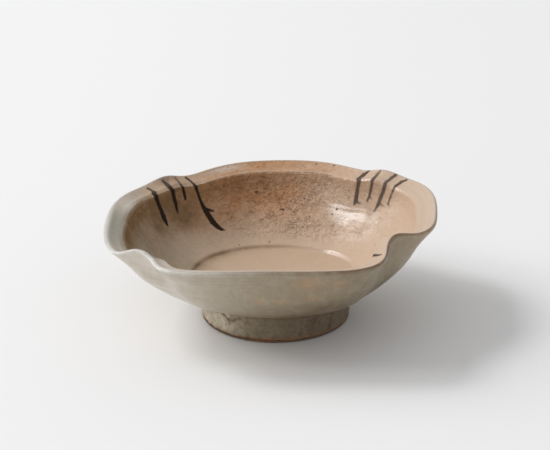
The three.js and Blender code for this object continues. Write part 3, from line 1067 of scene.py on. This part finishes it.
class BOWL_OT_inner_glaze(Operator):
    """Build the glazed inside with its brush strokes"""

    bl_idname = "bowl.inner_glaze"
    bl_label = "Inner glaze"

    def execute(self, context):
        form = context.scene.bowl_form
        section = Section(form)
        angle = crowded_angles(0.6, 1.8)[None, :]
        end = section.place[-1]
        crease = section.inside_place(form.rim_radius - form.flange_width)
        step = section.inside_place(form.well_radius)
        step_foot = section.inside_place(form.well_radius - form.step_run)
        # Rows are close at the lip, the crease and the step, and where there is brushwork
        top = spans(
            (CREST_GAP, 1.5 * MM, 0.18 * MM),
            (1.5 * MM, crease - 1.5 * MM, 0.65 * MM),
            (crease - 1.5 * MM, crease + 2 * MM, 0.28 * MM),
            (crease + 2 * MM, 38 * MM, 0.66 * MM),
            (38 * MM, step - MM, 1.2 * MM),
            (step - MM, step_foot + MM, 0.3 * MM),
            (step_foot + MM, end - 0.5 * MM, 2 * MM),
            (end, end + MM, 2 * MM),
        )
        under = spans(
            (CREST_GAP, 2 * MM, 0.6 * MM),
            (2 * MM, crease - 2 * MM, 2.2 * MM),
            (crease - 2 * MM, crease + 2.5 * MM, 0.7 * MM),
            (crease + 2.5 * MM, step - 2 * MM, 4 * MM),
            (step - 2 * MM, step_foot + 2 * MM, 0.8 * MM),
            (step_foot + 2 * MM, end - MM, 7 * MM),
            (end, end + MM, 2 * MM),
        )[::-1]
        top[-1] = under[0] = end
        relief = glaze_relief(form, angle, top, 3.4 * MM, 0.1 * MM, 22 * MM, seed=3)
        smooth_middle = np.clip((end - top) / MIDDLE_FADE, 0, 1) ** 2
        surface = glaze_skin(form, section, angle, top, relief * smooth_middle)
        lining = glaze_lining(form, section, angle, under)
        masks = inner_masks(angle, top / MM, crease / MM, (step + step_foot) / 2 / MM)
        masks["iron"] = stroke_depth(form, section, surface)
        masks["spots"] = spot_depth(form, section, surface)
        for name, values in masks.items():
            hidden = np.full(lining.shape[:2], values.min())
            masks[name] = np.concatenate([hidden, np.broadcast_to(values, surface.shape[:2])])
        rows = np.concatenate([lining, surface])
        material = inner_glaze_material(context.scene.bowl_look)
        mesh_piece("inner_coat", rows, False, "inner_glaze", material, masks)
        return {"FINISHED"}


class BOWL_OT_outer_glaze(Operator):
    """Build the glazed outside, from the lip to the foot"""

    bl_idname = "bowl.outer_glaze"
    bl_label = "Outer glaze"

    def execute(self, context):
        form = context.scene.bowl_form
        section = Section(form)
        angle = crowded_angles(0.9, 1.7)[None, :]
        end = -section.place[0]
        # Rows are close at the lip and in the crook above the foot
        skin = -spans(
            (CREST_GAP, 2.5 * MM, 0.3 * MM),
            (2.5 * MM, 48 * MM, 1.3 * MM),
            (48 * MM, 56 * MM, 0.5 * MM),
            (56 * MM, end, 0.75 * MM),
            (end, end + MM, 2 * MM),
        )[::-1]
        under = -spans(
            (CREST_GAP, 48 * MM, 4 * MM),
            (48 * MM, 56.5 * MM, 0.6 * MM),
            (56.5 * MM, end, 3 * MM),
            (end, end + MM, 2 * MM),
        )
        height = section.at(skin, form.skin_inset)[..., 1]
        on_foot = np.clip((form.foot_height + 0.3 * MM - height) / (2 * MM), 0, 1)
        crawled = ripple(angle, skin, 5 * MM, 9) + 0.7 * ripple(angle, skin, 2.4 * MM, 10)
        relief = glaze_relief(form, angle, skin, 4.1 * MM, 0.12 * MM, 24 * MM, seed=5)
        relief = relief + CRAWL_HEIGHT * on_foot * crawled
        surface = glaze_skin(form, section, angle, skin, relief)
        lining = glaze_lining(form, section, angle, under)
        glazed_foot = form.foot_height - form.bare_foot
        masks = outer_masks(angle, -skin / MM, (end - glazed_foot) / MM)
        for name, values in masks.items():
            hidden = np.zeros(lining.shape[:2])
            masks[name] = np.concatenate([np.broadcast_to(values, surface.shape[:2]), hidden])
        rows = np.concatenate([surface, lining])
        material = outer_glaze_material(context.scene.bowl_look)
        mesh_piece("outer_coat", rows, True, "outer_glaze", material, masks)
        return {"FINISHED"}


class BOWL_OT_clay(Operator):
    """Build the clay body under the glaze and its foot ring"""

    bl_idname = "bowl.clay"
    bl_label = "Clay body and foot ring"

    def execute(self, context):
        form = context.scene.bowl_form
        section = Section(form)
        material = clay_material(context.scene.bowl_look)
        angle = np.linspace(0, 2 * math.pi, 144, endpoint=False)[None, :]
        boss = form.foot_ring_height + form.seat_gap
        reach = np.linspace(0, form.foot_radius - 1.5 * MM, 40)
        trimmed = boss + TRIM_HEIGHT * np.sin(reach / TRIM_REACH)
        base = np.stack([reach, trimmed], axis=1)
        # Rows are close in the crook above the foot, where the glaze lies tight on the clay
        crook = np.linspace(section.place[0] + boss, -46 * MM, 16)
        places = np.concatenate([crook, np.linspace(-44 * MM, section.place[-1], 44)])
        core = section.at(places, form.glaze + form.seat_gap)
        line = np.concatenate([base, core])[:, None]
        skin = np.concatenate([base, section.at(places)])[:, None]
        body = press(form, line, angle, skin)
        mesh_piece("clay_bowl", body, False, "clay_body", material)
        ring = foot_ring_line(form)[:, None]
        # The ring is smoked dark at its foot all round, but for a stretch at the front
        smoke = 1 - bell(angle, 262, 20) * (0.8 + 0.2 * ripple(angle, ring[..., 1], 6 * MM, 12))
        outside = rise(ring[..., 0], form.foot_inner_radius + MM, form.foot_toe_radius - MM)
        masks = {"smoked": np.clip(smoke, 0, 1) * outside}
        foot = press(form, ring, angle)
        mesh_piece("clay_foot", foot, True, "foot_ring", material, masks)
        return {"FINISHED"}


def foot_ring_line(form):
    """Radius and height round the section of the foot ring, whose glazed part is set back."""
    toe, inner = form.foot_toe_radius, form.foot_inner_radius
    covered = toe - form.glaze - form.seat_gap
    bare_top = form.bare_foot - form.seat_gap
    corners = [
        (inner, 2.0 * MM),
        (inner + 0.2 * MM, 0.7 * MM),
        (inner + 1.0 * MM, 0.05 * MM),
        (inner + 1.8 * MM, 0.0),
        (toe - 1.8 * MM, 0.0),
        (toe - 0.9 * MM, 0.1 * MM),
        (toe - 0.15 * MM, 0.8 * MM),
        (toe, bare_top),
        (covered, bare_top + 0.1 * MM),
        (covered + 0.4 * MM, form.foot_ring_height),
        (inner - form.foot_undercut, form.foot_ring_height),
    ]
    return np.asarray(corners)


def soft_lamp(scene, studio, name, bearing_degrees):
    """A square lamp that faces the bowl, by the studio's values under its name."""
    power, rise_degrees, size = (
        getattr(studio, f"{name}_{key}") for key in ("power", "rise", "size")
    )
    lamp = bpy.data.lights.new(name, "AREA")
    lamp.shape = "SQUARE"
    lamp.size = size
    lamp.energy = power
    piece = bpy.data.objects.new(name, lamp)
    bearing, up = math.radians(bearing_degrees), math.radians(rise_degrees)
    piece.location = (
        studio.lamp_distance * math.cos(up) * math.cos(bearing),
        studio.lamp_distance * math.cos(up) * math.sin(bearing),
        studio.lamp_distance * math.sin(up),
    )
    piece.rotation_euler = (-piece.location).to_track_quat("-Z", "Y").to_euler()
    scene.collection.objects.link(piece)


class BOWL_OT_studio(Operator):
    """Build the floor, lamps and camera"""

    bl_idname = "bowl.studio"
    bl_label = "Studio"

    def execute(self, context):
        scene = context.scene
        studio = scene.bowl_studio
        floor_mesh = bpy.data.meshes.new("floor")
        ways = ((-1, -1), (1, -1), (1, 1), (-1, 1))
        corners = [(x * FLOOR_REACH, y * FLOOR_REACH, 0) for x, y in ways]
        floor_mesh.from_pydata(corners, [], [(0, 1, 2, 3)])
        floor = bpy.data.objects.new("floor", floor_mesh)
        scene.collection.objects.link(floor)
        material, board, shader = start_material("floor")
        board.fill(shader, {
            "Base Color": studio.floor_tint, "Roughness": 0.9, "Specular IOR Level": 0.1
        })
        floor_mesh.materials.append(material)

        soft_lamp(scene, studio, "window", studio.window_bearing)
        soft_lamp(scene, studio, "blind", studio.window_bearing)
        soft_lamp(scene, studio, "glint", studio.glint_bearing)

        world = bpy.data.worlds.new("sky")
        world.use_nodes = True
        background = world.node_tree.nodes["Background"]
        background.inputs["Color"].default_value = (1, 1, 1, 1)
        background.inputs["Strength"].default_value = studio.sky_strength
        scene.world = world
        scene.view_settings.view_transform = "Standard"

        lens = bpy.data.cameras.new("camera")
        lens.sensor_width = CAMERA_SENSOR
        lens.lens = CAMERA_LENS
        camera = bpy.data.objects.new("camera", lens)
        right, back, up = CAMERA_PLACE
        camera.location = (FOOT_CENTRE.x + right, FOOT_CENTRE.y + back, up)
        camera.rotation_euler = (math.radians(90 - CAMERA_DIP), 0, 0)
        scene.collection.objects.link(camera)
        scene.camera = camera
        return {"FINISHED"}


class BOWL_PT_panel(Panel):
    """Sizes, colours and build steps of the bowl"""

    bl_idname = "BOWL_PT_panel"
    bl_label = "Square shallow bowl"
    bl_space_type = "VIEW_3D"
    bl_region_type = "UI"
    bl_category = "Bowl"

    def draw(self, context):
        for group in (context.scene.bowl_form, context.scene.bowl_look, context.scene.bowl_studio):
            box = self.layout.box()
            for key in group.__annotations__:
                box.prop(group, key)
        for step in STEPS:
            self.layout.operator(step.bl_idname)


STEPS = (BOWL_OT_clay, BOWL_OT_inner_glaze, BOWL_OT_outer_glaze, BOWL_OT_studio)
CLASSES = (BowlForm, BowlLook, BowlStudio, *STEPS, BOWL_PT_panel)


def register():
    for cls in CLASSES:
        bpy.utils.register_class(cls)
    bpy.types.Scene.bowl_form = PointerProperty(type=BowlForm)
    bpy.types.Scene.bowl_look = PointerProperty(type=BowlLook)
    bpy.types.Scene.bowl_studio = PointerProperty(type=BowlStudio)


def unregister():
    del bpy.types.Scene.bowl_studio
    del bpy.types.Scene.bowl_look
    del bpy.types.Scene.bowl_form
    for cls in reversed(CLASSES):
        bpy.utils.unregister_class(cls)


def main():
    register()
    for step in STEPS:
        group, name = step.bl_idname.split(".")
        getattr(getattr(bpy.ops, group), name)()


if __name__ == "__main__":
    main()
